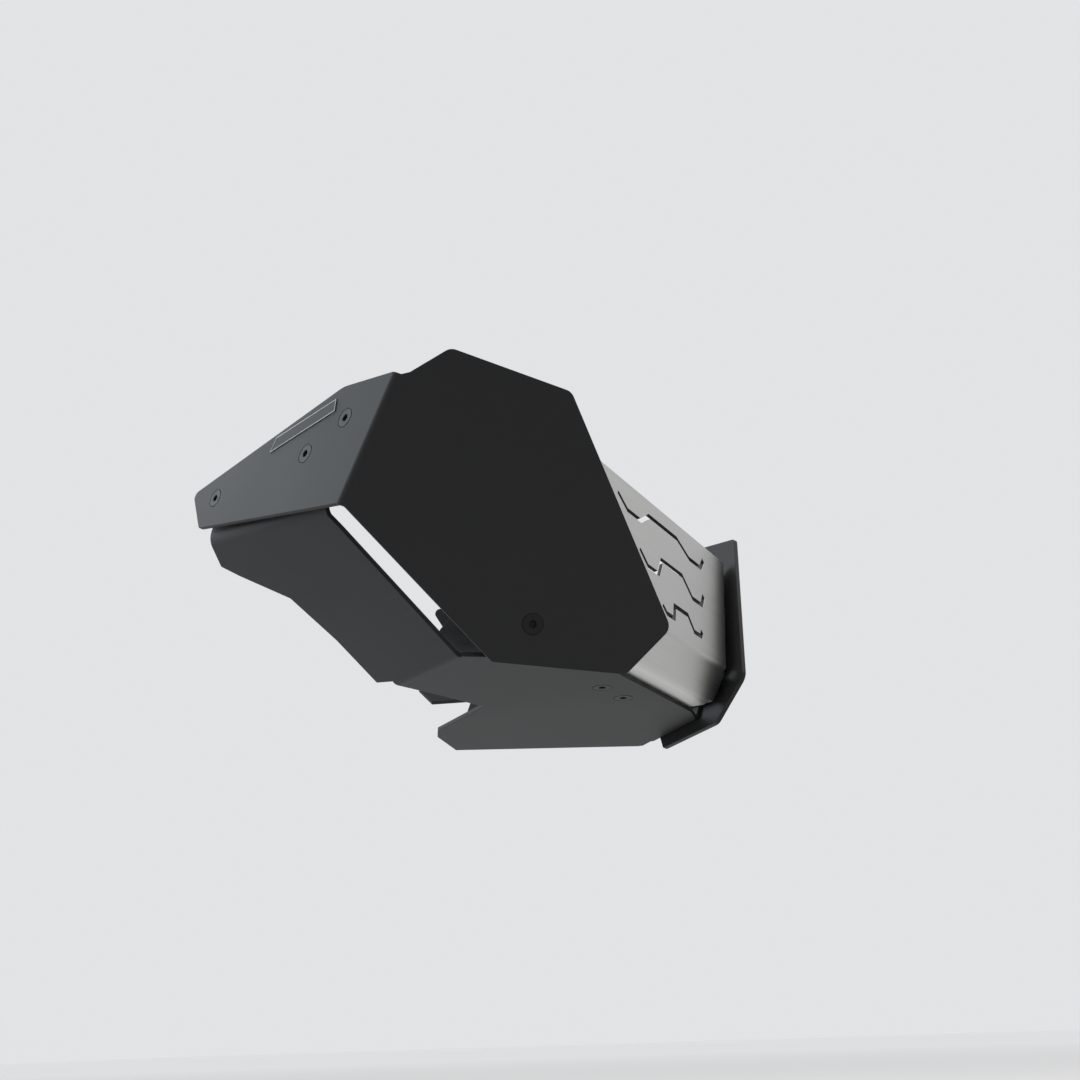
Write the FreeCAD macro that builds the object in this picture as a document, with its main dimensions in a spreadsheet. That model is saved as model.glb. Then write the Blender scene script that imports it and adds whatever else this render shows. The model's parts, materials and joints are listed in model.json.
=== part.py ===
import FreeCAD, Part
import Sketcher
import math
import os

Vector = FreeCAD.Vector
doc = FreeCAD.newDocument("engine_spoiler")

# Driving dimensions in millimetres and degrees
driving = {
    # Sheet stock, folds and cut corners
    "sheet_wall": "3",
    "sheet_bend": "2.5",
    "flange_bend": "10",
    "plate_wall": "2.5",
    "plate_bend": "3.5",
    "bracket_wall": "4",
    "bracket_bend": "3",
    "corner_radius": "7",
    "heel_radius": "4",
    "shoulder_radius": "25",
    "fold_relief": "2",
    # Cheek: where its fold starts and how its two flats turn from straight ahead
    "half_width": "195.4",
    "fold_foot_x": "16.3",
    "fold_foot_z": "83.2",
    "fold_length": "79.3",
    "fold_lean": "27.1",
    "face_turn": "43.3",
    "wing_turn": "17.1",
    # Cheek face, along the face and up the fold
    "right_heel_x": "109.2",
    "right_heel_z": "-47.3",
    "left_heel_x": "109",
    "left_heel_z": "-52.4",
    "toe_x": "182",
    "toe_z": "-25.7",
    "nose_x": "196.7",
    "nose_z": "7.9",
    "brow_x": "94",
    "brow_z": "109.5",
    "peak_x": "22.4",
    "peak_z": "104.2",
    "step_x": "7.1",
    "step_z": "82.3",
    "face_screw_x": "122.5",
    "face_screw_z": "-19.6",
    # Cheek wing, back along the wing and up the fold
    "tail_low_x": "157.2",
    "tail_low_z": "-34.6",
    "tail_x": "186.7",
    "tail_z": "-14.5",
    "shoulder_x": "50.2",
    "shoulder_z": "68.7",
    "front_screw_x": "33.3",
    "front_screw_z": "49.6",
    "middle_screw_x": "61.2",
    "middle_screw_z": "25.2",
    "rear_screw_x": "152.3",
    "rear_screw_z": "-13.1",
    # Belly pan: its floor
    "pan_level": "9.4",
    "pan_front_x": "105.9",
    "pan_front_half": "66",
    "pan_nose_x": "101.8",
    "tongue_left_x": "-66.6",
    "tongue_left_y": "24",
    "tongue_right_x": "-57.1",
    "tongue_right_y": "10.2",
    "notch_x": "2.6",
    "notch_y": "-26.5",
    "notch_end_x": "-5.6",
    "notch_end_y": "-69.5",
    "notch_radius": "3",
    # Belly pan: its slopes
    "right_corner_in": "65.7",
    "right_fold_turn": "24",
    "right_fold_length": "71.7",
    "right_slope": "50",
    "right_top_front": "33",
    "right_top_rear": "159",
    "left_corner_in": "55",
    "left_fold_turn": "31.6",
    "left_fold_length": "139.7",
    "left_slope": "51.5",
    "left_top_front": "28",
    "left_top_rear": "155",
    "slope_cut_x": "3",
    "slope_cut_z": "9",
    "rear_tip_x": "163.9",
    "rear_tip_z": "117",
    "rear_corner_x": "151.2",
    "rear_corner_z": "105.3",
    "rear_waist_x": "115.5",
    "rear_waist_z": "76",
    "rear_hip_x": "98",
    "rear_hip_z": "39.7",
    "rear_foot_x": "86.7",
    "rear_foot_z": "6",
    "left_tip_x": "169",
    "left_tip_z": "73",
    "left_hook_x": "158.3",
    "left_hook_z": "56",
    "left_waist_x": "128",
    "left_waist_z": "58.5",
    # Belly pan: its side tabs and wing flanges
    "tab_inset": "15",
    "tab_rake": "14",
    "edge_margin": "10",
    # Front plate
    "plate_fold_x": "131.7",
    "plate_fold_z": "34.5",
    "plate_lean": "7.7",
    "plate_height": "95.8",
    "plate_undercut": "32.1",
    "plate_flange": "14",
    "plate_tab_half": "63",
    "ear_margin": "9",
    # Slots of the front plate, out from their middle and up from the knee
    "slot_width": "3.4",
    "slot_middle_y": "5",
    "top_slot_crest_y": "21.7",
    "top_slot_crest_z": "82.5",
    "top_slot_drop_y": "38",
    "top_slot_flat_y": "57.6",
    "top_slot_flat_z": "73.2",
    "top_slot_hook_y": "67.4",
    "top_slot_hook_z": "82",
    "middle_slot_crest_y": "16.1",
    "middle_slot_crest_z": "53.5",
    "middle_slot_drop_y": "27",
    "middle_slot_flat_y": "42.3",
    "middle_slot_flat_z": "40.6",
    "middle_slot_hook_y": "50.3",
    "middle_slot_hook_z": "49.7",
    "bottom_slot_crest_y": "10.3",
    "bottom_slot_crest_z": "24",
    "bottom_slot_drop_y": "16",
    "bottom_slot_flat_y": "27",
    "bottom_slot_flat_z": "14",
    "bottom_slot_hook_y": "31",
    "bottom_slot_hook_z": "18.5",
    # Mounting brackets
    "bracket_reach": "46",
    "bracket_corner": "8",
    "mount_hole": "8.5",
    "eye_margin": "12",
    "nut_gap": "1.5",
    # Screws, nuts and spacers
    "belly_screw_x": "84.4",
    "belly_screw_right_y": "-23.1",
    "belly_screw_left_y": "6.3",
    "screw_shank": "6",
    "screw_head": "12",
    "screw_socket": "4",
    "socket_depth": "2.4",
    "screw_tip": "2",
    "clearance_hole": "6.4",
    "sink_gap": "0.25",
    "nut_width": "10",
    "nut_height": "6",
    "nut_bore": "6.5",
    "spacer_width": "12",
    "spacer_wall": "4",
}
sizes = doc.addObject("Spreadsheet::Sheet", "sizes")
for row, (name, text) in enumerate(driving.items(), 1):
    sizes.set("A%d" % row, name)
    sizes.set("B%d" % row, text)
    sizes.setAlias("B%d" % row, name)
doc.recompute()


def size(name):
    return float(sizes.get(name))


# A coordinate is a number, or the name of a size with or without a minus
def number(entry):
    if not isinstance(entry, str):
        return entry
    return -size(entry[1:]) if entry.startswith("-") else size(entry)


def formula(entry):
    return "-sizes." + entry[1:] if entry.startswith("-") else "sizes." + entry


def unit(vector):
    return vector * (1 / vector.Length)


def meet(first, second, third):
    (p1, n1), (p2, n2), (p3, n3) = first, second, third
    top = n2.cross(n3) * n1.dot(p1) + n3.cross(n1) * n2.dot(p2) + n1.cross(n2) * n3.dot(p3)
    return top * (1 / n1.dot(n2.cross(n3)))


# Sketches
def add_sketch(body, name, frame):
    sketch = body.newObject("Sketcher::SketchObject", name)
    plane = [item for item in body.Origin.OriginFeatures if item.Role == "XY_Plane"][0]
    sketch.AttachmentSupport = [(plane, "")]
    sketch.MapMode = "FlatFace"
    sketch.AttachmentOffset = frame
    return sketch


def pin_point(sketch, item, position, corner):
    for kind, axis, entry in (("DistanceX", -2, corner[0]), ("DistanceY", -1, corner[1])):
        if abs(number(entry)) < 1e-9:
            sketch.addConstraint(Sketcher.Constraint("PointOnObject", item, position, axis))
            continue
        index = sketch.addConstraint(Sketcher.Constraint(kind, -1, 1, item, position, number(entry)))
        if isinstance(entry, str):
            sketch.setExpression("Constraints[%d]" % index, formula(entry))


def draw_outline(sketch, corners):
    points = [Vector(number(x), number(y), 0) for x, y in corners]
    first = sketch.GeometryCount
    count = len(points)
    for i in range(count):
        sketch.addGeometry(Part.LineSegment(points[i], points[(i + 1) % count]))
    for i in range(count):
        following = first + (i + 1) % count
        sketch.addConstraint(Sketcher.Constraint("Coincident", first + i, 2, following, 1))
        pin_point(sketch, first + i, 1, corners[i])


def draw_circle(sketch, centre, diameter):
    middle = Vector(number(centre[0]), number(centre[1]), 0)
    item = sketch.addGeometry(Part.Circle(middle, Vector(0, 0, 1), size(diameter) / 2))
    pin_point(sketch, item, 3, centre)
    index = sketch.addConstraint(Sketcher.Constraint("Diameter", item, size(diameter)))
    sketch.setExpression("Constraints[%d]" % index, "sizes." + diameter)


def draw_hexagon(sketch, width):
    radius = size(width) / math.sqrt(3)
    corners = []
    for i in range(6):
        angle = math.radians(60 * i)
        corners.append((radius * math.cos(angle), radius * math.sin(angle)))
    draw_outline(sketch, corners)


# Frame of a flat: its corner, its two directions and the side its wall lies on
class Flat:
    def __init__(self, origin, along, up, inside):
        self.origin = origin
        self.along = unit(along)
        self.up = unit(up)
        self.normal = self.along.cross(self.up)
        self.inward = self.normal.dot(inside) > 0
        self.inside = self.normal if self.inward else self.normal * -1
        turn = FreeCAD.Rotation(self.along, self.up, self.normal, "ZXY")
        self.frame = FreeCAD.Placement(origin, turn)

    def point(self, corner):
        return self.origin + self.along * number(corner[0]) + self.up * number(corner[1])

    def corner(self, point):
        return ((point - self.origin).dot(self.along), (point - self.origin).dot(self.up))

    def plane(self):
        return (self.origin, self.inside)


def add_body(label):
    body = doc.addObject("PartDesign::Body", label)
    body.Label = label
    return body


def add_pad(body, name, sketch, length, backward):
    pad = body.newObject("PartDesign::Pad", name)
    pad.Profile = sketch
    pad.setExpression("Length", length)
    pad.Reversed = backward
    return pad


def add_flat(body, name, flat, corners, wall):
    sketch = add_sketch(body, name + "_outline", flat.frame)
    draw_outline(sketch, corners)
    return add_pad(body, name, sketch, "sizes." + wall, not flat.inward)


# Fold between two flats: start and end of its outer edge, and the way into each flat
class Fold:
    def __init__(self, start, end, first, second, wall, radius):
        self.start = start
        self.along = unit(end - start)
        self.length = (end - start).Length
        self.first = unit(first)
        self.second = unit(second)
        self.wall = wall
        self.radius = radius
        self.outer = size(wall) + size(radius)
        self.opening = self.first.getAngle(self.second)
        self.setback = self.outer / math.tan(self.opening / 2)


def add_fold(body, name, fold):
    rise = unit(fold.second - fold.first * fold.second.dot(fold.first))
    normal = fold.first.cross(rise)
    turn = FreeCAD.Rotation(fold.first, rise, normal, "ZXY")
    sketch = add_sketch(body, name + "_section", FreeCAD.Placement(fold.start, turn))
    centre = Vector(fold.setback, fold.outer, 0)
    low = fold.opening - 1.5 * math.pi
    high = -0.5 * math.pi
    arcs = []
    for radius in (fold.outer, size(fold.radius)):
        circle = Part.Circle(centre, Vector(0, 0, 1), radius)
        arcs.append(sketch.addGeometry(Part.ArcOfCircle(circle, low, high)))
    ends = []
    for angle in (low, high):
        way = Vector(math.cos(angle), math.sin(angle), 0)
        line = Part.LineSegment(centre + way * fold.outer, centre + way * size(fold.radius))
        ends.append(sketch.addGeometry(line))
    for end, position in zip(ends, (1, 2)):
        sketch.addConstraint(Sketcher.Constraint("Coincident", arcs[0], position, end, 1))
        sketch.addConstraint(Sketcher.Constraint("Coincident", arcs[1], position, end, 2))
    sketch.addConstraint(Sketcher.Constraint("Coincident", arcs[0], 3, arcs[1], 3))
    pin_point(sketch, arcs[0], 3, (fold.setback, fold.outer))
    outer = sketch.addConstraint(Sketcher.Constraint("Radius", arcs[0], fold.outer))
    sketch.setExpression("Constraints[%d]" % outer, "sizes.%s + sizes.%s" % (fold.wall, fold.radius))
    inner = sketch.addConstraint(Sketcher.Constraint("Radius", arcs[1], size(fold.radius)))
    sketch.setExpression("Constraints[%d]" % inner, "sizes.%s" % fold.radius)
    for arc in arcs:
        foot = sketch.getPoint(arc, 1)
        sketch.addConstraint(Sketcher.Constraint("DistanceY", -1, 1, arc, 1, foot.y))
        sketch.addConstraint(Sketcher.Constraint("DistanceX", -1, 1, arc, 2, fold.setback))
    add_pad(body, name, sketch, "%r mm" % fold.length, normal.dot(fold.along) < 0)


def round_corners(body, name, flat, corners, wall, radius):
    doc.recompute()
    base = body.Tip
    chosen = []
    for corner in corners:
        outer = flat.point(corner)
        inner = outer + flat.inside * size(wall)
        for index, edge in enumerate(base.Shape.Edges, 1):
            ends = [vertex.Point for vertex in edge.Vertexes]
            if len(ends) == 2 and min((ends[0] - outer).Length, (ends[1] - outer).Length) < 0.01:
                if min((ends[0] - inner).Length, (ends[1] - inner).Length) < 0.01:
                    chosen.append("Edge%d" % index)
    fillet = body.newObject("PartDesign::Fillet", name)
    fillet.Base = (base, chosen)
    fillet.setExpression("Radius", "sizes." + radius)


def add_holes(body, name, flat, centres, wall, sunk, diameter="clearance_hole"):
    sketch = add_sketch(body, name + "_centres", flat.frame)
    for centre in centres:
        draw_circle(sketch, centre, diameter)
    doc.recompute()
    hole = body.newObject("PartDesign::Hole", name)
    hole.Profile = sketch
    doc.recompute()
    hole.ThreadType = 0
    hole.DepthType = "Dimension"
    hole.DrillPoint = "Flat"
    hole.Reversed = flat.inward
    hole.setExpression("Depth", "sizes.%s * 2" % wall)
    hole.setExpression("Diameter", "sizes." + diameter)
    if sunk:
        hole.HoleCutType = "Countersink"
        hole.HoleCutCustomValues = True
        hole.HoleCutCountersinkAngle = 90
        hole.setExpression("HoleCutDiameter", "sizes.screw_head + 2 * sizes.sink_gap")
    return hole


# Directions shared by all sheets of one side
level = Vector(0, 0, 1)
forward = Vector(1, 0, 0)
lean = math.radians(size("fold_lean"))
fold_up = Vector(math.sin(lean), 0, math.cos(lean))
fold_ahead = Vector(math.cos(lean), 0, -math.sin(lean))


class Side:
    def __init__(self, name, hand):
        self.name = name
        self.hand = hand
        self.inboard = Vector(0, -hand, 0)
        self.foot = Vector(size("fold_foot_x"), hand * size("half_width"), size("fold_foot_z"))
        face = math.radians(size("face_turn"))
        wing = math.radians(size("wing_turn"))
        self.face_along = fold_ahead * math.cos(face) + self.inboard * math.sin(face)
        self.face_in = fold_ahead * -math.sin(face) + self.inboard * math.cos(face)
        self.wing_along = fold_ahead * -math.cos(wing) + self.inboard * math.sin(wing)
        self.wing_in = fold_ahead * math.sin(wing) + self.inboard * math.cos(wing)

    def face(self, depth):
        return Flat(self.foot + self.face_in * depth, self.face_along, fold_up, self.face_in)

    def wing(self, depth):
        return Flat(self.foot + self.wing_in * depth, self.wing_along, fold_up, self.wing_in)


right = Side("right", -1)
left = Side("left", 1)
face_screw = ("face_screw_x", "face_screw_z")
wing_screws = [(name + "_screw_x", name + "_screw_z") for name in ("front", "middle", "rear")]

# Cheeks: a face and a wing on either side of one fold
face_corners = [("toe_x", "toe_z"), ("nose_x", "nose_z"), ("brow_x", "brow_z"), ("peak_x", "peak_z")]
step = ("step_x", "step_z")
tail_corners = [("tail_low_x", "tail_low_z"), ("tail_x", "tail_z")]
shoulder = ("shoulder_x", "shoulder_z")


def add_cheek(side):
    body = add_body(side.name + "_cheek")
    face = side.face(0)
    wing = side.wing(0)
    fold = Fold(side.foot, side.foot + fold_up * size("fold_length"),
                side.face_along, side.wing_along, "sheet_wall", "sheet_bend")
    heel = (side.name + "_heel_x", side.name + "_heel_z")
    face_outline = [(fold.setback, 0), heel] + face_corners + [step, (fold.setback, "fold_length")]
    wing_outline = [(fold.setback, 0)] + tail_corners + [shoulder, (fold.setback, "fold_length")]
    add_flat(body, side.name + "_face", face, face_outline, "sheet_wall")
    add_fold(body, side.name + "_cheek_fold", fold)
    add_flat(body, side.name + "_wing", wing, wing_outline, "sheet_wall")
    round_corners(body, side.name + "_heel", face, [heel], "sheet_wall", "heel_radius")
    round_corners(body, side.name + "_tail", wing, tail_corners, "sheet_wall", "heel_radius")
    round_corners(body, side.name + "_face_corners", face, face_corners, "sheet_wall", "corner_radius")
    round_corners(body, side.name + "_shoulder", wing, [shoulder], "sheet_wall", "shoulder_radius")
    add_holes(body, side.name + "_face_hole", face, [face_screw], "sheet_wall", True)
    add_holes(body, side.name + "_wing_holes", wing, wing_screws, "sheet_wall", True)
    return body


right_cheek = add_cheek(right)
left_cheek = add_cheek(left)

# Belly pan
pan = add_body("belly_pan")
floor = Flat(Vector(0, 0, size("pan_level")), forward, Vector(0, 1, 0), level)


class PanSide:
    def __init__(self, side):
        self.side = side
        wall = size("sheet_wall")
        turn = math.radians(size(side.name + "_fold_turn"))
        slope = math.radians(size(side.name + "_slope"))
        tab = side.face(wall)
        corner_y = size("half_width") - size(side.name + "_corner_in")
        across = (Vector(0, side.hand * corner_y, 0), side.inboard)
        self.corner = meet(floor.plane(), tab.plane(), across)
        # Fold between the floor and the slope
        back = forward * -math.cos(turn) + side.inboard * math.sin(turn)
        fold_in = forward * math.sin(turn) + side.inboard * math.cos(turn)
        rise = fold_in * -math.cos(slope) + level * math.sin(slope)
        slope_in = fold_in * math.sin(slope) + level * math.cos(slope)
        self.slope = Flat(self.corner, back, rise, slope_in)
        length = size(side.name + "_fold_length")
        # Fold between the floor and the side tab
        side_in = unit(Vector(side.face_in.x, side.face_in.y, 0))
        side_ahead = side_in.cross(level) if side.hand > 0 else level.cross(side_in)
        side_ahead = side_ahead if side_ahead.x > 0 else side_ahead * -1
        tab_up = unit(side.face_in.cross(side_ahead))
        tab_up = tab_up if tab_up.z > 0 else tab_up * -1
        self.tab = Flat(self.corner, side_ahead, tab_up, side.face_in)
        trial = Fold(self.corner, self.corner + side_ahead, side_in, tab_up, "sheet_wall", "sheet_bend")
        side_line = (self.corner + side_in * trial.setback, side_in)
        slope_trial = Fold(self.corner, self.corner + back, fold_in, rise, "sheet_wall", "sheet_bend")
        fold_line = (self.corner + fold_in * slope_trial.setback, fold_in)
        nose_line = (Vector(size("pan_nose_x"), 0, 0), forward)
        self.floor_corner = meet(floor.plane(), side_line, fold_line)
        self.nose = meet(floor.plane(), side_line, nose_line)
        self.fold_rear = self.corner + back * length + fold_in * slope_trial.setback
        relief = size("fold_relief")
        near = max((self.floor_corner - self.corner).dot(back), 0) + relief
        self.slope_fold = Fold(self.corner + back * near, self.corner + back * length,
                               fold_in, rise, "sheet_wall", "sheet_bend")
        self.slope_start = near
        self.slope_end = length
        tab_start = max((self.floor_corner - self.corner).dot(side_ahead), 0) + size("tab_inset")
        tab_end = (self.nose - self.corner).dot(side_ahead) - relief
        self.tab_fold = Fold(self.corner + side_ahead * tab_start, self.corner + side_ahead * tab_end,
                             side_in, tab_up, "sheet_wall", "sheet_bend")
        self.tab_span = (tab_start, tab_end)
        # Fold between the slope and the flange behind the wing
        self.flange = side.wing(wall + size("spacer_wall"))
        edge = unit(slope_in.cross(side.wing_in))
        edge = edge if edge.x < 0 else edge * -1
        slope_down = unit(edge.cross(slope_in))
        slope_down = slope_down if slope_down.z < 0 else slope_down * -1
        flange_up = unit(edge.cross(side.wing_in))
        flange_up = flange_up if flange_up.z > 0 else flange_up * -1
        ends = []
        for name in ("_top_front", "_top_rear"):
            station = (self.corner + back * size(side.name + name), back)
            ends.append(meet(self.slope.plane(), self.flange.plane(), station))
        self.flange_fold = Fold(ends[0], ends[1], slope_down, flange_up, "sheet_wall", "flange_bend")


right_pan = PanSide(right)
left_pan = PanSide(left)


def floor_corners(pan_side):
    points = (pan_side.fold_rear, pan_side.floor_corner, pan_side.nose)
    return [floor.corner(point) for point in points]


tongue = [("tongue_left_x", "tongue_left_y"), ("tongue_right_x", "tongue_right_y")]
notch = [("notch_x", "notch_y"), ("notch_end_x", "notch_end_y")]
front_edge = [("pan_front_x", "-pan_front_half"), ("pan_front_x", "pan_front_half")]
floor_outline = floor_corners(right_pan) + front_edge + floor_corners(left_pan)[::-1] + tongue + notch
add_flat(pan, "floor", floor, floor_outline, "sheet_wall")
round_corners(pan, "notch_corner", floor, notch[:1], "sheet_wall", "notch_radius")

rear_names = {
    "right": ["rear_tip", "rear_corner", "rear_waist", "rear_hip", "rear_foot"],
    "left": ["left_tip", "left_hook", "left_waist"],
}
for pan_side in (right_pan, left_pan):
    side = pan_side.side
    add_fold(pan, side.name + "_slope_fold", pan_side.slope_fold)
    bend = pan_side.flange_fold
    top = [bend.start + bend.first * bend.setback]
    top.append(top[0] + bend.along * bend.length)
    low = pan_side.slope_fold.setback
    slope_outline = [(pan_side.slope_end, low), (pan_side.slope_start, low)]
    top_front, top_rear = [pan_side.slope.corner(point) for point in top]
    slope_outline.append((top_front[0] - size("slope_cut_x"), top_front[1] - size("slope_cut_z")))
    slope_outline += [top_front, top_rear]
    slope_outline += [(name + "_x", name + "_z") for name in rear_names[side.name]]
    add_flat(pan, side.name + "_slope", pan_side.slope, slope_outline, "sheet_wall")
    add_fold(pan, side.name + "_flange_fold", bend)
    bottom = [bend.start + bend.second * bend.setback]
    bottom.append(bottom[0] + bend.along * bend.length)
    margin = size("edge_margin")
    front_x, front_z = [number(entry) for entry in wing_screws[0]]
    rear_x, rear_z = [number(entry) for entry in wing_screws[2]]
    flange_outline = [pan_side.flange.corner(point) for point in bottom]
    flange_outline.append((rear_x + margin, rear_z + margin))
    flange_outline.append((front_x + margin, front_z + margin))
    flange_outline.append((front_x - margin, front_z + margin))
    add_flat(pan, side.name + "_flange", pan_side.flange, flange_outline, "sheet_wall")
    add_holes(pan, side.name + "_flange_holes", pan_side.flange, wing_screws, "sheet_wall", False)
    add_fold(pan, side.name + "_tab_fold", pan_side.tab_fold)
    screw = pan_side.tab.corner(side.face(size("sheet_wall")).point(face_screw))
    low = pan_side.tab_fold.setback
    high = screw[1] + margin
    tab_start, tab_end = pan_side.tab_span
    tab_outline = [(tab_start, low), (tab_end, low), (tab_end, high), (tab_start - size("tab_rake"), high)]
    add_flat(pan, side.name + "_tab", pan_side.tab, tab_outline, "sheet_wall")
    add_holes(pan, side.name + "_tab_hole", pan_side.tab, [screw], "sheet_wall", False)
belly_screws = [("belly_screw_x", "belly_screw_right_y"), ("belly_screw_x", "belly_screw_left_y")]
add_holes(pan, "belly_holes", floor, belly_screws, "sheet_wall", True)

# Front plate
plate = add_body("front_plate")
plate_lean = math.radians(size("plate_lean"))
plate_under = math.radians(size("plate_undercut"))
knee = Vector(size("plate_fold_x"), 0, size("plate_fold_z"))
across = Vector(0, 1, 0)
upper_up = Vector(-math.sin(plate_lean), 0, math.cos(plate_lean))
upper_in = Vector(-math.cos(plate_lean), 0, -math.sin(plate_lean))
lower_down = Vector(-math.sin(plate_under), 0, -math.cos(plate_under))
lower_in = Vector(-math.cos(plate_under), 0, math.sin(plate_under))
upper = Flat(knee, across, upper_up, upper_in)
lower = Flat(knee, across, lower_down, lower_in)
seat_level = Vector(0, 0, size("pan_level") + size("sheet_wall"))
sole = meet(lower.plane(), (seat_level, level), (knee, across))
seat = Flat(sole, across, forward * -1, level)


class PlateSide:
    def __init__(self, side):
        self.side = side
        self.flange = side.face(2 * size("sheet_wall"))
        self.folds = {}
        for name, flat in (("upper", upper), ("lower", lower)):
            edge = unit(flat.inside.cross(side.face_in))
            edge = edge if edge.dot(flat.up) > 0 else edge * -1
            inward = unit(edge.cross(flat.inside))
            inward = inward if inward.dot(side.inboard) > 0 else inward * -1
            rearward = unit(edge.cross(side.face_in))
            rearward = rearward if rearward.x < 0 else rearward * -1
            root = meet(flat.plane(), self.flange.plane(), (knee, flat.up))
            self.folds[name] = Fold(root, root + edge, inward, rearward, "plate_wall", "plate_bend")

    def line(self, name):
        fold = self.folds[name]
        return (fold.start + fold.first * fold.setback, fold.first)


plate_sides = [PlateSide(right), PlateSide(left)]
knee_fold = Fold(knee, knee + across, upper_up, lower_down, "plate_wall", "plate_bend")
sole_fold = Fold(sole, sole + across, lower_down * -1, forward * -1, "plate_wall", "plate_bend")
top_level = (upper.point((0, "plate_height")), upper_up)
knee_upper = (upper.point((0, knee_fold.setback)), upper_up)
knee_lower = (lower.point((0, knee_fold.setback)), lower_down)
sole_lower = (sole - lower_down * sole_fold.setback, lower_down)


def plate_outline(flat, name, first_level, second_level):
    corners = []
    for level_plane, sides in ((first_level, plate_sides), (second_level, plate_sides[::-1])):
        for plate_side in sides:
            corners.append(flat.corner(meet(flat.plane(), plate_side.line(name), level_plane)))
    return corners


upper_outline = plate_outline(upper, "upper", knee_upper, top_level)
lower_outline = plate_outline(lower, "lower", knee_lower, sole_lower)
add_flat(plate, "upper", upper, upper_outline, "plate_wall")
knee_half = min(upper_outline[1][0], lower_outline[1][0]) - size("fold_relief")
knee_fold.start = knee - across * knee_half
knee_fold.length = 2 * knee_half
add_fold(plate, "knee_fold", knee_fold)
add_flat(plate, "lower", lower, lower_outline, "plate_wall")
sole_fold.start = sole - across * size("plate_tab_half")
sole_fold.length = 2 * size("plate_tab_half")
add_fold(plate, "sole_fold", sole_fold)
seat_length = sole.x - size("belly_screw_x") + size("edge_margin")
seat_outline = [("-plate_tab_half", sole_fold.setback), ("plate_tab_half", sole_fold.setback),
                ("plate_tab_half", seat_length), ("-plate_tab_half", seat_length)]
add_flat(plate, "seat", seat, seat_outline, "plate_wall")
seat_centres = []
for screw in belly_screws:
    seat_centres.append(seat.corner(Vector(number(screw[0]), number(screw[1]), sole.z)))
add_holes(plate, "seat_holes", seat, seat_centres, "plate_wall", False)

for plate_side in plate_sides:
    side = plate_side.side
    for name, flat, levels in (("upper", upper, (knee_upper, top_level)),
                               ("lower", lower, (knee_lower, sole_lower))):
        fold = plate_side.folds[name]
        stations = []
        for level_plane in levels:
            point = meet(flat.plane(), plate_side.line(name), level_plane)
            stations.append((point - fold.start).dot(fold.along))
        stations[0] += size("fold_relief")
        bend = Fold(fold.start + fold.along * stations[0], fold.start + fold.along * stations[1],
                    fold.first, fold.second, "plate_wall", "plate_bend")
        add_fold(plate, side.name + "_" + name + "_fold", bend)
        ear = Flat(bend.start, bend.along, bend.second, side.face_in)
        reach = bend.setback + size("plate_flange")
        ear_outline = [(0, bend.setback), (bend.length, bend.setback)]
        if name == "upper":
            ear_outline += [(bend.length, reach), (0, reach)]
            add_flat(plate, side.name + "_upper_ear", ear, ear_outline, "plate_wall")
        else:
            screw = ear.corner(side.face(2 * size("sheet_wall")).point(face_screw))
            margin = size("ear_margin")
            ear_outline += [(screw[0] + margin, screw[1] + margin), (screw[0] - margin, screw[1] + margin)]
            add_flat(plate, side.name + "_lower_ear", ear, ear_outline, "plate_wall")
            add_holes(plate, side.name + "_ear_hole", ear, [screw], "plate_wall", False)


# Slots of the front plate, each a bent line drawn from its middle to its hooked end
def slot_outline(name):
    crest = (size(name + "_crest_y"), size(name + "_crest_z"))
    drop = (size(name + "_drop_y"), size(name + "_flat_z"))
    flat_end = (size(name + "_flat_y"), size(name + "_flat_z"))
    hook = (size(name + "_hook_y"), size(name + "_hook_z"))
    half = [crest, drop, flat_end, hook]
    route = [(-x, z) for x, z in half[::-1]] + half
    route = [Vector(x + size("slot_middle_y"), z, 0) for x, z in route]
    sides = ([], [])
    for i, point in enumerate(route):
        before = unit(point - route[i - 1]) if i else None
        after = unit(route[i + 1] - point) if i + 1 < len(route) else None
        ways = [way for way in (before, after) if way]
        normals = [Vector(-way.y, way.x, 0) for way in ways]
        mitre = unit(normals[0] + normals[-1])
        reach = size("slot_width") / 2 / mitre.dot(normals[0])
        sides[0].append(point + mitre * reach)
        sides[1].append(point - mitre * reach)
    return [(point.x, point.y) for point in sides[0] + sides[1][::-1]]


for name in ("top_slot", "middle_slot", "bottom_slot"):
    sketch = add_sketch(plate, name + "_outline", upper.frame)
    draw_outline(sketch, slot_outline(name))
    pocket = plate.newObject("PartDesign::Pocket", name)
    pocket.Profile = sketch
    pocket.setExpression("Length", "sizes.plate_wall * 2")
    pocket.Reversed = upper.inward

# Right bracket: an angle from two wing screws to a mounting eye
bracket = add_body("right_bracket")
margin = size("edge_margin")
seat_depth = 2 * size("sheet_wall") + size("spacer_wall")
leg = right.wing(seat_depth)
bracket_low = number("middle_screw_z") - margin
bracket_high = number("front_screw_z") + margin
bracket_height = bracket_high - bracket_low
trial = Fold(leg.origin, leg.origin + fold_up, right.wing_along, right.inboard, "bracket_wall", "bracket_bend")
nut_room = size("nut_width") / math.sqrt(3) + size("nut_gap")
leg_start = number("front_screw_x") - nut_room
leg_end = number("middle_screw_x") + margin
bracket_foot = leg.point((leg_start - trial.setback, bracket_low))
bracket_fold = Fold(bracket_foot, bracket_foot + fold_up * bracket_height,
                    right.wing_along, right.inboard, "bracket_wall", "bracket_bend")
web = Flat(bracket_foot, right.inboard, fold_up, fold_ahead * -1)
leg_ends = [(leg_end, bracket_low), (leg_end, bracket_high)]
web_ends = [("bracket_reach", 0), ("bracket_reach", bracket_height)]
leg_outline = [(leg_start, bracket_low)] + leg_ends + [(leg_start, bracket_high)]
web_outline = [(trial.setback, 0)] + web_ends + [(trial.setback, bracket_height)]
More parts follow.
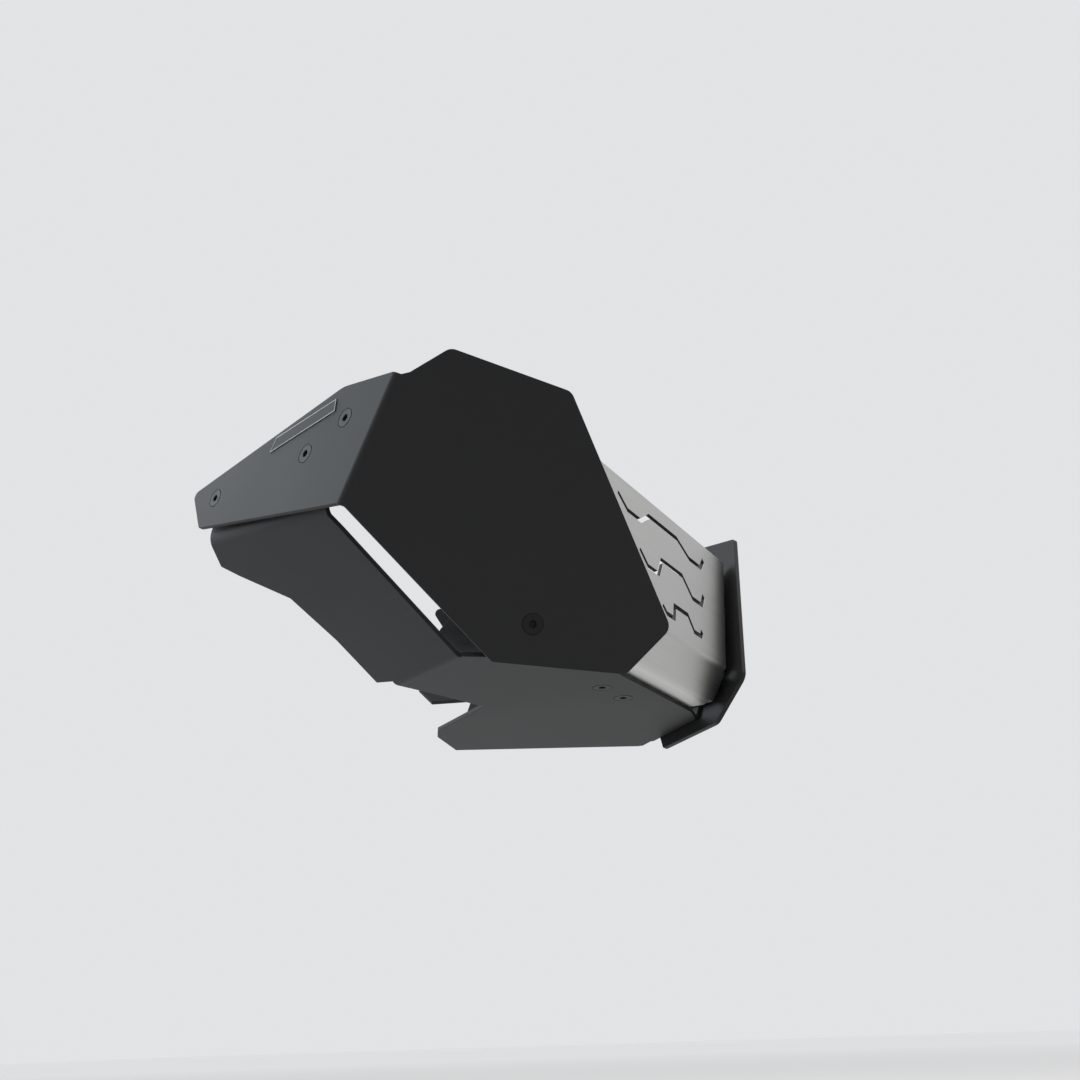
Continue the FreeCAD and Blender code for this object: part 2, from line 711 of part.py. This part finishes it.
add_flat(bracket, "bracket_leg", leg, leg_outline, "bracket_wall")
add_fold(bracket, "bracket_fold", bracket_fold)
add_flat(bracket, "bracket_web", web, web_outline, "bracket_wall")
round_corners(bracket, "web_corners", web, web_ends, "bracket_wall", "bracket_corner")
add_holes(bracket, "leg_holes", leg, wing_screws[:2], "bracket_wall", False)
eye = (size("bracket_reach") - size("eye_margin"), bracket_height / 2)
add_holes(bracket, "mounting_eye", web, [eye], "bracket_wall", False, "mount_hole")

# Left bracket
left_bracket = doc.addObject("Part::Mirroring", "left_bracket")
left_bracket.Source = bracket
left_bracket.Normal = Vector(0, 1, 0)


# Countersunk screws, drawn with the head's face at zero and the tip up
def add_screw(name, grip):
    body = add_body(name)
    upright = FreeCAD.Placement(Vector(0, 0, 0), FreeCAD.Rotation(Vector(1, 0, 0), 90))
    sketch = add_sketch(body, name + "_profile", upright)
    head = size("screw_head") / 2
    shank = size("screw_shank") / 2
    length = grip + size("nut_height") + size("screw_tip")
    draw_outline(sketch, [(0, 0), (head, 0), (shank, head - shank), (shank, length), (0, length)])
    turned = body.newObject("PartDesign::Revolution", name + "_turned")
    turned.Profile = sketch
    turned.ReferenceAxis = (sketch, ["V_Axis"])
    turned.Angle = 360
    socket = add_sketch(body, name + "_socket_outline", FreeCAD.Placement())
    draw_hexagon(socket, "screw_socket")
    pocket = body.newObject("PartDesign::Pocket", name + "_socket")
    pocket.Profile = socket
    pocket.setExpression("Length", "sizes.socket_depth")
    pocket.Reversed = True
    return body


plate_grip = size("sheet_wall") + size("plate_wall")
face_grip = 2 * size("sheet_wall") + size("plate_wall")
bracket_grip = seat_depth + size("bracket_wall")
wing_screw = add_screw("wing_screw", bracket_grip)
cheek_screw = add_screw("cheek_screw", face_grip)
belly_screw = add_screw("belly_screw", plate_grip)
spacer = add_body("spacer")
sketch = add_sketch(spacer, "spacer_outline", FreeCAD.Placement())
draw_hexagon(sketch, "spacer_width")
draw_circle(sketch, (0, 0), "clearance_hole")
add_pad(spacer, "spacer_pad", sketch, "sizes.spacer_wall", False)
nut = add_body("nut")
sketch = add_sketch(nut, "nut_outline", FreeCAD.Placement())
draw_hexagon(sketch, "nut_width")
draw_circle(sketch, (0, 0), "nut_bore")
add_pad(nut, "nut_pad", sketch, "sizes.nut_height", False)

# Every screw's place: its group, its pattern, its head's face, the way in and the depth it grips
stacks = []
spacer_seats = []
for side in (right, left):
    for centre, grip in zip(wing_screws, (bracket_grip, bracket_grip, seat_depth)):
        place = side.name + "_wing"
        stacks.append((place, wing_screw, side.wing(0).point(centre), side.wing_in, grip))
        spacer_seats.append((place, side.wing(size("sheet_wall")).point(centre), side.wing_in))
    stacks.append(("lower", cheek_screw, side.face(0).point(face_screw), side.face_in, face_grip))
for centre in belly_screws:
    stacks.append(("lower", belly_screw, floor.point(centre), level, plate_grip))
groups = {}


def set_out(group, pattern, point, way):
    link = doc.addObject("App::Link", group + "_piece")
    link.LinkedObject = pattern
    link.Placement = FreeCAD.Placement(point, FreeCAD.Rotation(level, way))
    groups.setdefault(group, []).append(link)


for place, screw, point, way, grip in stacks:
    set_out(place + "_screws", screw, point, way)
    set_out(place + "_nuts", nut, point + way * grip, way)
for place, point, way in spacer_seats:
    set_out(place + "_spacers", spacer, point, way)
parts = [plate, right_cheek, left_cheek, pan, bracket, left_bracket]
for group, links in groups.items():
    compound = doc.addObject("Part::Compound", group)
    compound.Label = group
    compound.Links = links
    parts.append(compound)
doc.recompute()

# Every object must have built before anything is written
for item in doc.Objects:
    if "Invalid" in item.State or "Error" in item.State:
        raise RuntimeError(item.Label + " did not build")
for item in parts:
    if item.Shape.isNull() or not item.Shape.isValid():
        raise RuntimeError(item.Label + " has no sound shape")

os.makedirs("parts", exist_ok=True)
for item in parts:
    item.Shape.exportStep("parts/%s.step" % item.Label)
    print(item.Label, len(item.Shape.Solids), round(item.Shape.Volume))
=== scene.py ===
import json
import math

import bmesh
import bpy
from mathutils import Matrix, Vector


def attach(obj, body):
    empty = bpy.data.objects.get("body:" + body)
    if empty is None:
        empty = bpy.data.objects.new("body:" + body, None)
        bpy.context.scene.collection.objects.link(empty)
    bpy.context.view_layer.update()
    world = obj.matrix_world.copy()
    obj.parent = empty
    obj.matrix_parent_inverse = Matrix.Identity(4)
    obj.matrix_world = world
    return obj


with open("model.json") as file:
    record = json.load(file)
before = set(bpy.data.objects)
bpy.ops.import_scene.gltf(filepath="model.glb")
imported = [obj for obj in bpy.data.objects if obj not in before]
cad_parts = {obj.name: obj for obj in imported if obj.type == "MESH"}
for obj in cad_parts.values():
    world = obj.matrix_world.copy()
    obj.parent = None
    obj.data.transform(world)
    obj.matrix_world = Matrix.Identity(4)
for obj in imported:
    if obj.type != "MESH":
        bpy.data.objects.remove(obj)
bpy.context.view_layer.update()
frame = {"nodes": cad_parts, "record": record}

nodes = frame["nodes"]
scene = bpy.context.scene
print("frame:", len(nodes), "nodes")


class Value:  # one shader socket, so that maths on it reads as plain Python
    def __init__(self, finish, socket):
        self.finish = finish
        self.socket = socket

    def __add__(self, other):
        return self.finish.maths("ADD", self, other)

    def __mul__(self, other):
        return self.finish.maths("MULTIPLY", self, other)

    __radd__ = __add__
    __rmul__ = __mul__


class Finish:  # one material: its shader, its fixed values and a maker for any other node
    def __init__(self, name, fixed):
        self.material = bpy.data.materials.new(name)
        self.material.use_nodes = True
        self.tree = self.material.node_tree
        self.tree.nodes.clear()
        output = self.tree.nodes.new("ShaderNodeOutputMaterial")
        self.shader = self.tree.nodes.new("ShaderNodeBsdfPrincipled")
        self.tree.links.new(self.shader.outputs["BSDF"], output.inputs["Surface"])
        for socket, value in fixed.items():
            self.paint(socket, value)

    def feed(self, socket, value):
        if isinstance(value, Value):
            self.tree.links.new(value.socket, socket)
        else:
            socket.default_value = value

    def paint(self, socket, value):
        self.feed(self.shader.inputs[socket], value)

    def node(self, kind, settings, inputs, output=0):
        made = self.tree.nodes.new(kind)
        for key, value in settings.items():
            setattr(made, key, value)
        for key, value in inputs.items():
            self.feed(made.inputs[key], value)
        return Value(self, made.outputs[output])

    def maths(self, operation, first, second):
        return self.node("ShaderNodeMath", {"operation": operation}, {0: first, 1: second})

    def place(self):
        return self.node("ShaderNodeTexCoord", {}, {}, "Object")

    def grain(self, scale, detail, stretch=(1, 1, 1)):
        stretched = self.node("ShaderNodeMapping", {}, {"Vector": self.place(), "Scale": stretch})
        return self.node("ShaderNodeTexNoise", {}, {"Vector": stretched, "Scale": scale, "Detail": detail})

    def blend(self, amount, first, second):  # sockets 6 and 7 and output 2 are the Mix node's colours
        inputs = {"Factor": amount, 6: (*first, 1), 7: (*second, 1)}
        return self.node("ShaderNodeMix", {"data_type": "RGBA"}, inputs, 2)

    def vary(self, pattern, look):  # colour and roughness that follow one pattern
        self.paint("Base Color", self.blend(pattern, look["dark"], look["light"]))
        self.paint("Roughness", pattern * look["roughSpread"] + look["rough"])

    def bump(self, height, strength, depth):
        inputs = {"Height": height, "Strength": strength, "Distance": depth}
        self.paint("Normal", self.node("ShaderNodeBump", {}, inputs))


# Satin powder coat on the folded sheets
coat = {
    "dark": (0.0085, 0.0085, 0.0092), "light": (0.0115, 0.0115, 0.0124),
    "rough": 0.54, "roughSpread": 0.08, "gloss": 0.20,
    "cloudScale": 9, "cloudDetail": 3,
    "pebbleScale": 1500, "pebbleDetail": 1, "pebble": 0.05, "pebbleDepth": 0.0002,
}


def powderCoat(name, look):
    finish = Finish(name, {"Specular IOR Level": look["gloss"]})
    finish.vary(finish.grain(look["cloudScale"], look["cloudDetail"]), look)
    pebbles = finish.grain(look["pebbleScale"], look["pebbleDetail"])
    finish.bump(pebbles, look["pebble"], look["pebbleDepth"])
    return finish.material


# Fine brushed aluminium, its strokes running across the plate
bare = {
    "dark": (0.395, 0.391, 0.380), "light": (0.521, 0.515, 0.502), "rough": 0.30, "roughSpread": 0.16,
    "strokeScale": 40, "strokeDetail": 4, "strokeStretch": (3, 0.25, 40),
    "strokeLift": 0.05, "strokeDepth": 0.0001,
}


def brushedMetal(name, look):
    finish = Finish(name, {"Metallic": 1.0})
    strokes = finish.grain(look["strokeScale"], look["strokeDetail"], look["strokeStretch"])
    finish.vary(strokes, look)
    finish.bump(strokes, look["strokeLift"], look["strokeDepth"])
    return finish.material


# Black screws, zinc nuts and nylon spacers
oxide = {
    "dark": (0.0045, 0.0045, 0.0050), "light": (0.0075, 0.0075, 0.0080), "rough": 0.44, "roughSpread": 0.12,
    "fleckScale": 300, "fleckDetail": 3, "metal": 0.0, "gloss": 0.17,
}
plating = {
    "dark": (0.50, 0.51, 0.52), "light": (0.66, 0.67, 0.68), "rough": 0.25, "roughSpread": 0.15,
    "fleckScale": 260, "fleckDetail": 3, "metal": 1.0, "gloss": 0.5,
}
nylon = {
    "dark": (0.012, 0.012, 0.012), "light": (0.022, 0.022, 0.022), "rough": 0.60, "roughSpread": 0.15,
    "fleckScale": 400, "fleckDetail": 3, "metal": 0.0, "gloss": 0.4,
}


def smallFinish(name, look):
    finish = Finish(name, {"Metallic": look["metal"], "Specular IOR Level": look["gloss"]})
    finish.vary(finish.grain(look["fleckScale"], look["fleckDetail"]), look)
    return finish.material


finishes = {
    "black_coat": powderCoat("satinBlackCoat", coat),
    "bracket_coat": powderCoat("bracketBlackCoat", coat),
    "bare_plate": brushedMetal("brushedAluminium", bare),
    "screw_black": smallFinish("blackOxide", oxide),
    "zinc": smallFinish("zincPlate", plating),
    "spacer_nylon": smallFinish("spacerNylon", nylon),
}
for subpart in frame["record"]["subparts"]:
    piece = nodes[subpart["node"]]
    piece.data.materials.clear()
    piece.data.materials.append(finishes[subpart["material_slot"]])
print("finishes:", len(finishes))

# Walls of the front plate's laser-cut slots, painted dark grey as the shade inside the slots, and rougher
# than its brushed faces
slotWallShade = {
    "lean": math.radians(7.7), "lowest": 0.045, "highest": 0.122, "steepest": 0.2,
    "paintedShade": (0.07, 0.069, 0.067, 1), "paintedShadeRough": 0.55,
}


# Gives the slot walls a dark grey colour that stands in for the shade inside the slots
def paintShadeOnSlotWalls(plate, look):
    paintedShade = Finish("slotWallPaintedShade", {
        "Base Color": look["paintedShade"], "Roughness": look["paintedShadeRough"], "Metallic": 1.0,
    })
    plate.data.materials.append(paintedShade.material)
    facing = Vector((math.cos(look["lean"]), 0, math.sin(look["lean"])))
    for polygon in plate.data.polygons:
        atSlots = look["lowest"] < polygon.center.z < look["highest"]
        if atSlots and abs(polygon.normal.dot(facing)) < look["steepest"]:
            polygon.material_index = 1  # the dark grey finish that paints the slots' shade


paintShadeOnSlotWalls(nodes["front_plate"], slotWallShade)
# The slot walls now carry painted shade
print("slot walls dulled")

# Broken edges on the sheets and fasteners, as after deburring
edges = {
    "weld": 0.00001, "flatAngle": math.radians(0.5), "sharpAngle": math.radians(35), "segments": 2,
    "coated": 0.0004, "bare": 0.0002, "fastener": 0.0004,
}


def breakEdges(piece, width):
    for polygon in piece.data.polygons:
        polygon.use_smooth = True
    weld = piece.modifiers.new("weld", "WELD")
    weld.merge_threshold = edges["weld"]
    flats = piece.modifiers.new("flats", "DECIMATE")
    flats.decimate_type = "DISSOLVE"
    flats.angle_limit = edges["flatAngle"]
    bevel = piece.modifiers.new("bevel", "BEVEL")
    bevel.width = width
    bevel.segments = edges["segments"]
    bevel.limit_method = "ANGLE"
    bevel.angle_limit = edges["sharpAngle"]
    bevel.use_clamp_overlap = False
    normals = piece.modifiers.new("normals", "WEIGHTED_NORMAL")
    normals.keep_sharp = True


for name, piece in nodes.items():
    if name.endswith(("screws", "nuts", "spacers")):
        breakEdges(piece, edges["fastener"])
    else:
        breakEdges(piece, edges["bare" if name == "front_plate" else "coated"])
print("edges broken")

# Outer faces of the right cheek: where its fold starts, how it leans and how far each flat turns
cheek = {
    "foot": (0.0163, -0.1954, 0.0832), "lean": math.radians(27.1),
    "wingTurn": math.radians(17.1), "faceTurn": math.radians(-43.3),
}
ahead = Vector((math.cos(cheek["lean"]), 0, -math.sin(cheek["lean"])))
foldUp = Vector((math.sin(cheek["lean"]), 0, math.cos(cheek["lean"])))
inboard = Vector((0, 1, 0))


def flatPlace(turn):  # X along the flat, Y up the fold, Z out of its face
    along = ahead * math.cos(turn) - inboard * math.sin(turn)
    outward = -ahead * math.sin(turn) - inboard * math.cos(turn)
    place = Matrix((along, foldUp, outward)).transposed().to_4x4()
    place.translation = Vector(cheek["foot"])
    return place


wingPlace = flatPlace(cheek["wingTurn"])
facePlace = flatPlace(cheek["faceTurn"])


def makeObject(name, shape, materials):
    mesh = bpy.data.meshes.new(name)
    shape.to_mesh(mesh)
    shape.free()
    for material in materials:
        mesh.materials.append(material)
    made = bpy.data.objects.new(name, mesh)
    scene.collection.objects.link(made)
    return made


def addPiece(name, shape, materials):
    piece = makeObject(name, shape, materials)
    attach(piece, "root")


# Blank badge on the wing, a dark field in a bright rim
badge = {
    "corners": ((-0.1045, 0.0221), (-0.0474, 0.0530), (-0.0513, 0.0606), (-0.1043, 0.0322)),
    "thick": 0.0006, "rim": 0.0006, "sink": 0.0001, "edge": 0.00015, "edgeSegments": 2,
    "field": (0.006, 0.006, 0.0065, 1), "fieldRough": 0.50, "fieldGloss": 0.12,
    "shine": (0.16, 0.16, 0.165, 1), "shineRough": 0.45,
}


def makeBadge(look):
    field = Finish("badgeField", {
        "Base Color": look["field"], "Roughness": look["fieldRough"],
        "Specular IOR Level": look["fieldGloss"],
    })
    rim = Finish("badgeRim", {
        "Base Color": look["shine"], "Roughness": look["shineRough"], "Metallic": 1.0,
    })
    shape = bmesh.new()
    corners = [shape.verts.new((x, y, 0)) for x, y in look["corners"]]
    sole = bmesh.ops.contextual_create(shape, geom=corners)["faces"][0]
    raised = bmesh.ops.extrude_face_region(shape, geom=[sole], use_keep_orig=True)["geom"]
    top = [item for item in raised if isinstance(item, bmesh.types.BMFace)][0]
    bmesh.ops.translate(shape, vec=(0, 0, look["thick"]), verts=top.verts)
    bmesh.ops.recalc_face_normals(shape, faces=shape.faces)
    bmesh.ops.bevel(shape, geom=list(top.edges), offset=look["edge"], segments=look["edgeSegments"],
                    profile=0.5, material=-1, affect="EDGES")
    top = max(shape.faces, key=lambda face: face.calc_center_median().z)
    bmesh.ops.inset_individual(shape, faces=[top], thickness=look["rim"], depth=0)
    top.material_index = 1  # the field
    step = bmesh.ops.inset_individual(shape, faces=[top], thickness=look["edge"], depth=-look["sink"])
    for face in step["faces"]:
        face.material_index = 0  # the rim
    bmesh.ops.transform(shape, matrix=wingPlace, verts=shape.verts)
    addPiece("wing_badge", shape, [rim.material, field.material])


makeBadge(badge)
print("badge made")

# Thread ridges on the screw ends; each spot is x, y and the depths of the nut's face and the tip
threads = {
    "crest": 0.00325, "root": 0.00300, "core": 0.00270, "pitch": 0.001, "sides": 28,
    "wing": (
        (-0.0333, 0.0496, 0.0201, 0.0216),
        (-0.0612, 0.0252, 0.0201, 0.0216),
        (-0.1523, -0.0131, 0.0161, 0.0216),
    ),
    "face": ((0.1225, -0.0196, 0.0146, 0.0161),),
    "belly": ((0.0844, -0.0231, 0.0116, 0.0131), (0.0844, 0.0063, 0.0116, 0.0131)),
}


def cutThread(shape, place, spot, look):
    x, y, nutFace, tip = spot
    halfPitch = look["pitch"] / 2
    outline = [(look["core"], nutFace)]
    for step in range(round((tip - nutFace) / halfPitch) + 1):
        outline.append((look["crest" if step % 2 else "root"], nutFace + step * halfPitch))
    outline.append((look["core"], tip))
    earlier = set(shape.verts)
    corners = [shape.verts.new((radius, 0, -depth)) for radius, depth in outline]
    rim = [shape.edges.new(pair) for pair in zip(corners, corners[1:] + corners[:1])]
    bmesh.ops.spin(shape, geom=corners + rim, cent=(0, 0, 0), axis=(0, 0, 1), angle=math.tau,
                   steps=look["sides"], use_merge=True)
    fresh = [vert for vert in shape.verts if vert not in earlier]
    bmesh.ops.transform(shape, matrix=place @ Matrix.Translation((x, y, 0)), verts=fresh)


def makeThreads(look):
    shape = bmesh.new()
    toLeft = Matrix.Scale(-1, 4, inboard)
    for spots, place in ((look["wing"], wingPlace), (look["face"], facePlace)):
        for spot in spots:
            cutThread(shape, place, spot, look)
            cutThread(shape, toLeft @ place, spot, look)
    upward = Matrix.Scale(-1, 4, (0, 0, 1))
    for spot in look["belly"]:
        cutThread(shape, upward, spot, look)
    bmesh.ops.recalc_face_normals(shape, faces=shape.faces)
    addPiece("screw_threads", shape, [finishes["screw_black"]])


makeThreads(threads)
print("threads cut")

# Pale floor, which fades into the backdrop
floorLook = {
    "level": -0.30, "size": 30, "near": (0.76, 0.755, 0.74), "far": (0.95, 0.95, 0.95),
    "fadeFrom": 2.0, "fadeTo": 7.0, "rough": 0.9,
}


def makeFloor(look):
    pale = Finish("paleFloor", {"Roughness": look["rough"]})
    distance = pale.node("ShaderNodeVectorMath", {"operation": "LENGTH"}, {0: pale.place()}, "Value")
    span = {"Value": distance, "From Min": look["fadeFrom"], "From Max": look["fadeTo"]}
    fade = pale.node("ShaderNodeMapRange", {}, span)
    pale.paint("Base Color", pale.blend(fade, look["near"], look["far"]))
    shape = bmesh.new()
    bmesh.ops.create_grid(shape, x_segments=1, y_segments=1, size=look["size"] / 2)
    bmesh.ops.translate(shape, vec=(0, 0, look["level"]), verts=shape.verts)
    floor = makeObject("floor", shape, [pale.material])


makeFloor(floorLook)
print("floor laid")

# Soft sky and light boxes, each with its place, aim, size in metres, power in watts and colour
sky = {"colour": (0.93, 0.94, 0.96, 1), "strength": 0.82}
lightBoxes = {
    "wingBox": {
        "place": (-1.25, -0.35, 0.95), "aim": (-0.05, -0.17, 0.14), "size": 1.5, "power": 22,
        "colour": (0.84, 0.93, 1.0),
    },
    "topBox": {
        "place": (0.6, 0.75, 1.6), "aim": (0.5, 0.75, -0.3), "size": 1.4, "power": 13,
        "colour": (1.0, 0.98, 0.94),
    },
    "lowBox": {
        "place": (-0.42, -0.40, 0.0), "aim": (-0.40, -0.36, -0.3), "size": 0.4, "power": 2.5,
        "colour": (0.96, 0.98, 1.0),
    },
}


def makeSky(look):
    world = bpy.data.worlds.new("softSky")
    world.use_nodes = True
    background = world.node_tree.nodes["Background"]
    background.inputs["Color"].default_value = look["colour"]
    background.inputs["Strength"].default_value = look["strength"]
    scene.world = world


def makeLightBox(name, look):
    light = bpy.data.lights.new(name, "AREA")
    light.shape = "SQUARE"
    light.size = look["size"]
    light.energy = look["power"]
    light.color = look["colour"]
    lamp = bpy.data.objects.new(name, light)
    lamp.location = look["place"]
    lamp.visible_camera = False
    facing = Vector(look["aim"]) - Vector(look["place"])
    lamp.rotation_euler = facing.to_track_quat("-Z", "Y").to_euler()
    scene.collection.objects.link(lamp)


makeSky(sky)
for name, box in lightBoxes.items():
    makeLightBox(name, box)
print("studio lit")

# Camera low on the right, ahead of the part and looking up at it
shot = {
    "place": (0.3909, -0.6600, -0.1849), "right": (0.8720, 0.4884, -0.0314),
    "down": (-0.2124, 0.3200, -0.9233), "lens": 40, "sensor": 36, "nearest": 0.01,
}


def makeCamera(look):
    right = Vector(look["right"]).normalized()
    backward = right.cross(-Vector(look["down"])).normalized()
    upward = backward.cross(right)
    data = bpy.data.cameras.new("camera")
    data.lens = look["lens"]
    data.sensor_width = look["sensor"]
    data.clip_start = look["nearest"]
    camera = bpy.data.objects.new("camera", data)
    turn = Matrix((right, upward, backward)).transposed().to_4x4()
    turn.translation = Vector(look["place"])
    camera.matrix_world = turn
    scene.collection.objects.link(camera)
    scene.camera = camera


makeCamera(shot)
scene.view_settings.view_transform = "Standard"
print("camera set")
